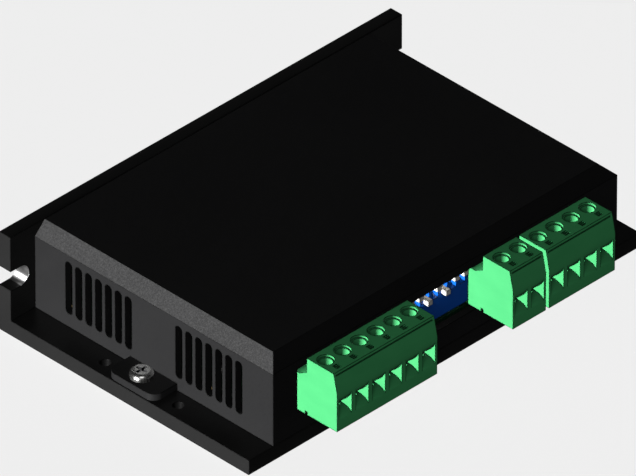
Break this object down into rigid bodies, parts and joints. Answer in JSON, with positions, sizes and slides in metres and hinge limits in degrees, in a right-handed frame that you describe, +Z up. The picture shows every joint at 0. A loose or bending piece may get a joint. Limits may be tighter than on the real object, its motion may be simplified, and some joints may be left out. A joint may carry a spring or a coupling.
{
  "type": "stepper driver module",
  "caption": "Stepper motor driver: chamfered black vented cover on an L-shaped heatsink, with green pluggable screw terminals and a DIP switch along the front.",
  "frame": {"origin": "centre of the heatsink's flat bottom face", "axes": "X along the length, -Y the side with the terminals, +Y the heatsink's upright wall, +Z up"},
  "size_m": [0.118, 0.0867, 0.0255],
  "materials": {
    "heatsink": "black anodised, fine matt",
    "cover": "black, fine texture",
    "cover_screws": "bright plated",
    "board": "green solder mask",
    "standoffs": "turned",
    "board_screws": "zinc plated",
    "capacitors": "shrink sleeve",
    "chips": "moulded epoxy",
    "inductor": "pressed ferrite",
    "thermal_pad": "soft matt",
    "terminal_plastic": "satin green polyamide",
    "dip_body": "satin blue",
    "clamp_screws": "zinc plated",
    "clamp_cages": "nickel plated",
    "dip_sliders": "white"
  },
  "bodies": {
    "chassis": {"capacitor_1": "capacitors", "capacitor_2": "capacitors", "cover": "cover", "cover_screw_left": "cover_screws", "cover_screw_right": "cover_screws", "dip_switch_body": "dip_body", "header_2way": "terminal_plastic", "header_4way": "terminal_plastic", "header_6way": "terminal_plastic", "heatsink_base": "heatsink", "inductor": "inductor", "microcontroller": "chips", "optocoupler": "chips", "pcb": "board", "pcb_screw_1": "board_screws", "pcb_screw_2": "board_screws", "pcb_screw_3": "board_screws", "pcb_screw_4": "board_screws", "pcb_standoff_1": "standoffs", "pcb_standoff_2": "standoffs", "pcb_standoff_3": "standoffs", "pcb_standoff_4": "standoffs", "power_stage_a": "chips", "power_stage_b": "chips", "thermal_pad": "thermal_pad"},
    "plug_6way": {"plug_6way": "terminal_plastic"},
    "clamp_screw_01": {"clamp_screw_01": "clamp_screws"},
    "clamp_cage_01": {"clamp_cage_01": "clamp_cages"},
    "clamp_screw_02": {"clamp_screw_02": "clamp_screws"},
    "clamp_cage_02": {"clamp_cage_02": "clamp_cages"},
    "clamp_screw_03": {"clamp_screw_03": "clamp_screws"},
    "clamp_cage_03": {"clamp_cage_03": "clamp_cages"},
    "clamp_screw_04": {"clamp_screw_04": "clamp_screws"},
    "clamp_cage_04": {"clamp_cage_04": "clamp_cages"},
    "clamp_screw_05": {"clamp_screw_05": "clamp_screws"},
    "clamp_cage_05": {"clamp_cage_05": "clamp_cages"},
    "clamp_screw_06": {"clamp_screw_06": "clamp_screws"},
    "clamp_cage_06": {"clamp_cage_06": "clamp_cages"},
    "plug_2way": {"plug_2way": "terminal_plastic"},
    "clamp_screw_07": {"clamp_screw_07": "clamp_screws"},
    "clamp_cage_07": {"clamp_cage_07": "clamp_cages"},
    "clamp_screw_08": {"clamp_screw_08": "clamp_screws"},
    "clamp_cage_08": {"clamp_cage_08": "clamp_cages"},
    "plug_4way": {"plug_4way": "terminal_plastic"},
    "clamp_screw_09": {"clamp_screw_09": "clamp_screws"},
    "clamp_cage_09": {"clamp_cage_09": "clamp_cages"},
    "clamp_screw_10": {"clamp_screw_10": "clamp_screws"},
    "clamp_cage_10": {"clamp_cage_10": "clamp_cages"},
    "clamp_screw_11": {"clamp_screw_11": "clamp_screws"},
    "clamp_cage_11": {"clamp_cage_11": "clamp_cages"},
    "clamp_screw_12": {"clamp_screw_12": "clamp_screws"},
    "clamp_cage_12": {"clamp_cage_12": "clamp_cages"},
    "dip_slider_1": {"dip_slider_1": "dip_sliders"},
    "dip_slider_2": {"dip_slider_2": "dip_sliders"},
    "dip_slider_3": {"dip_slider_3": "dip_sliders"},
    "dip_slider_4": {"dip_slider_4": "dip_sliders"},
    "dip_slider_5": {"dip_slider_5": "dip_sliders"},
    "dip_slider_6": {"dip_slider_6": "dip_sliders"},
    "dip_slider_7": {"dip_slider_7": "dip_sliders"},
    "dip_slider_8": {"dip_slider_8": "dip_sliders"}
  },
  "joints": [
    {"name": "plug_6way_pull", "type": "slide", "parent": "chassis", "child": "plug_6way", "axis": [0, -1, 0], "range_m": [0, 0.012]},
    {"name": "clamp_screw_01_turn", "type": "hinge", "parent": "plug_6way", "child": "clamp_screw_01", "pos_m": [-0.0416, -0.04315, 0.0197], "axis": [0, 0, 1], "range_deg": [-1585, 0]},
    {"name": "clamp_cage_01_rise", "type": "slide", "parent": "plug_6way", "child": "clamp_cage_01", "axis": [0, 0, 1], "range_m": [0, 0.0022]},
    {"name": "clamp_screw_02_turn", "type": "hinge", "parent": "plug_6way", "child": "clamp_screw_02", "pos_m": [-0.0366, -0.04315, 0.0197], "axis": [0, 0, 1], "range_deg": [-1585, 0]},
    {"name": "clamp_cage_02_rise", "type": "slide", "parent": "plug_6way", "child": "clamp_cage_02", "axis": [0, 0, 1], "range_m": [0, 0.0022]},
    {"name": "clamp_screw_03_turn", "type": "hinge", "parent": "plug_6way", "child": "clamp_screw_03", "pos_m": [-0.0316, -0.04315, 0.0197], "axis": [0, 0, 1], "range_deg": [-1585, 0]},
    {"name": "clamp_cage_03_rise", "type": "slide", "parent": "plug_6way", "child": "clamp_cage_03", "axis": [0, 0, 1], "range_m": [0, 0.0022]},
    {"name": "clamp_screw_04_turn", "type": "hinge", "parent": "plug_6way", "child": "clamp_screw_04", "pos_m": [-0.0266, -0.04315, 0.0197], "axis": [0, 0, 1], "range_deg": [-1585, 0]},
    {"name": "clamp_cage_04_rise", "type": "slide", "parent": "plug_6way", "child": "clamp_cage_04", "axis": [0, 0, 1], "range_m": [0, 0.0022]},
    {"name": "clamp_screw_05_turn", "type": "hinge", "parent": "plug_6way", "child": "clamp_screw_05", "pos_m": [-0.0216, -0.04315, 0.0197], "axis": [0, 0, 1], "range_deg": [-1585, 0]},
    {"name": "clamp_cage_05_rise", "type": "slide", "parent": "plug_6way", "child": "clamp_cage_05", "axis": [0, 0, 1], "range_m": [0, 0.0022]},
    {"name": "clamp_screw_06_turn", "type": "hinge", "parent": "plug_6way", "child": "clamp_screw_06", "pos_m": [-0.0166, -0.04315, 0.0197], "axis": [0, 0, 1], "range_deg": [-1585, 0]},
    {"name": "clamp_cage_06_rise", "type": "slide", "parent": "plug_6way", "child": "clamp_cage_06", "axis": [0, 0, 1], "range_m": [0, 0.0022]},
    {"name": "plug_2way_pull", "type": "slide", "parent": "chassis", "child": "plug_2way", "axis": [0, -1, 0], "range_m": [0, 0.012]},
    {"name": "clamp_screw_07_turn", "type": "hinge", "parent": "plug_2way", "child": "clamp_screw_07", "pos_m": [0.0112, -0.04315, 0.0197], "axis": [0, 0, 1], "range_deg": [-1585, 0]},
    {"name": "clamp_cage_07_rise", "type": "slide", "parent": "plug_2way", "child": "clamp_cage_07", "axis": [0, 0, 1], "range_m": [0, 0.0022]},
    {"name": "clamp_screw_08_turn", "type": "hinge", "parent": "plug_2way", "child": "clamp_screw_08", "pos_m": [0.0162, -0.04315, 0.0197], "axis": [0, 0, 1], "range_deg": [-1585, 0]},
    {"name": "clamp_cage_08_rise", "type": "slide", "parent": "plug_2way", "child": "clamp_cage_08", "axis": [0, 0, 1], "range_m": [0, 0.0022]},
    {"name": "plug_4way_pull", "type": "slide", "parent": "chassis", "child": "plug_4way", "axis": [0, -1, 0], "range_m": [0, 0.012]},
    {"name": "clamp_screw_09_turn", "type": "hinge", "parent": "plug_4way", "child": "clamp_screw_09", "pos_m": [0.02215, -0.04315, 0.0197], "axis": [0, 0, 1], "range_deg": [-1585, 0]},
    {"name": "clamp_cage_09_rise", "type": "slide", "parent": "plug_4way", "child": "clamp_cage_09", "axis": [0, 0, 1], "range_m": [0, 0.0022]},
    {"name": "clamp_screw_10_turn", "type": "hinge", "parent": "plug_4way", "child": "clamp_screw_10", "pos_m": [0.02715, -0.04315, 0.0197], "axis": [0, 0, 1], "range_deg": [-1585, 0]},
    {"name": "clamp_cage_10_rise", "type": "slide", "parent": "plug_4way", "child": "clamp_cage_10", "axis": [0, 0, 1], "range_m": [0, 0.0022]},
    {"name": "clamp_screw_11_turn", "type": "hinge", "parent": "plug_4way", "child": "clamp_screw_11", "pos_m": [0.03215, -0.04315, 0.0197], "axis": [0, 0, 1], "range_deg": [-1585, 0]},
    {"name": "clamp_cage_11_rise", "type": "slide", "parent": "plug_4way", "child": "clamp_cage_11", "axis": [0, 0, 1], "range_m": [0, 0.0022]},
    {"name": "clamp_screw_12_turn", "type": "hinge", "parent": "plug_4way", "child": "clamp_screw_12", "pos_m": [0.03715, -0.04315, 0.0197], "axis": [0, 0, 1], "range_deg": [-1585, 0]},
    {"name": "clamp_cage_12_rise", "type": "slide", "parent": "plug_4way", "child": "clamp_cage_12", "axis": [0, 0, 1], "range_m": [0, 0.0022]},
    {"name": "dip_slider_1_slide", "type": "slide", "parent": "chassis", "child": "dip_slider_1", "axis": [0, 0, 1], "range_m": [0, 0.00235]},
    {"name": "dip_slider_2_slide", "type": "slide", "parent": "chassis", "child": "dip_slider_2", "axis": [0, 0, 1], "range_m": [-0.00235, 0]},
    {"name": "dip_slider_3_slide", "type": "slide", "parent": "chassis", "child": "dip_slider_3", "axis": [0, 0, 1], "range_m": [-0.00235, 0]},
    {"name": "dip_slider_4_slide", "type": "slide", "parent": "chassis", "child": "dip_slider_4", "axis": [0, 0, 1], "range_m": [0, 0.00235]},
    {"name": "dip_slider_5_slide", "type": "slide", "parent": "chassis", "child": "dip_slider_5", "axis": [0, 0, 1], "range_m": [-0.00235, 0]},
    {"name": "dip_slider_6_slide", "type": "slide", "parent": "chassis", "child": "dip_slider_6", "axis": [0, 0, 1], "range_m": [0, 0.00235]},
    {"name": "dip_slider_7_slide", "type": "slide", "parent": "chassis", "child": "dip_slider_7", "axis": [0, 0, 1], "range_m": [-0.00235, 0]},
    {"name": "dip_slider_8_slide", "type": "slide", "parent": "chassis", "child": "dip_slider_8", "axis": [0, 0, 1], "range_m": [-0.00235, 0]}
  ],
  "couplings": [
    {"joint": "clamp_screw_01_turn", "follows": "clamp_cage_01_rise", "rad_per_m": -12566},
    {"joint": "clamp_screw_02_turn", "follows": "clamp_cage_02_rise", "rad_per_m": -12566},
    {"joint": "clamp_screw_03_turn", "follows": "clamp_cage_03_rise", "rad_per_m": -12566},
    {"joint": "clamp_screw_04_turn", "follows": "clamp_cage_04_rise", "rad_per_m": -12566},
    {"joint": "clamp_screw_05_turn", "follows": "clamp_cage_05_rise", "rad_per_m": -12566},
    {"joint": "clamp_screw_06_turn", "follows": "clamp_cage_06_rise", "rad_per_m": -12566},
    {"joint": "clamp_screw_07_turn", "follows": "clamp_cage_07_rise", "rad_per_m": -12566},
    {"joint": "clamp_screw_08_turn", "follows": "clamp_cage_08_rise", "rad_per_m": -12566},
    {"joint": "clamp_screw_09_turn", "follows": "clamp_cage_09_rise", "rad_per_m": -12566},
    {"joint": "clamp_screw_10_turn", "follows": "clamp_cage_10_rise", "rad_per_m": -12566},
    {"joint": "clamp_screw_11_turn", "follows": "clamp_cage_11_rise", "rad_per_m": -12566},
    {"joint": "clamp_screw_12_turn", "follows": "clamp_cage_12_rise", "rad_per_m": -12566}
  ]
}
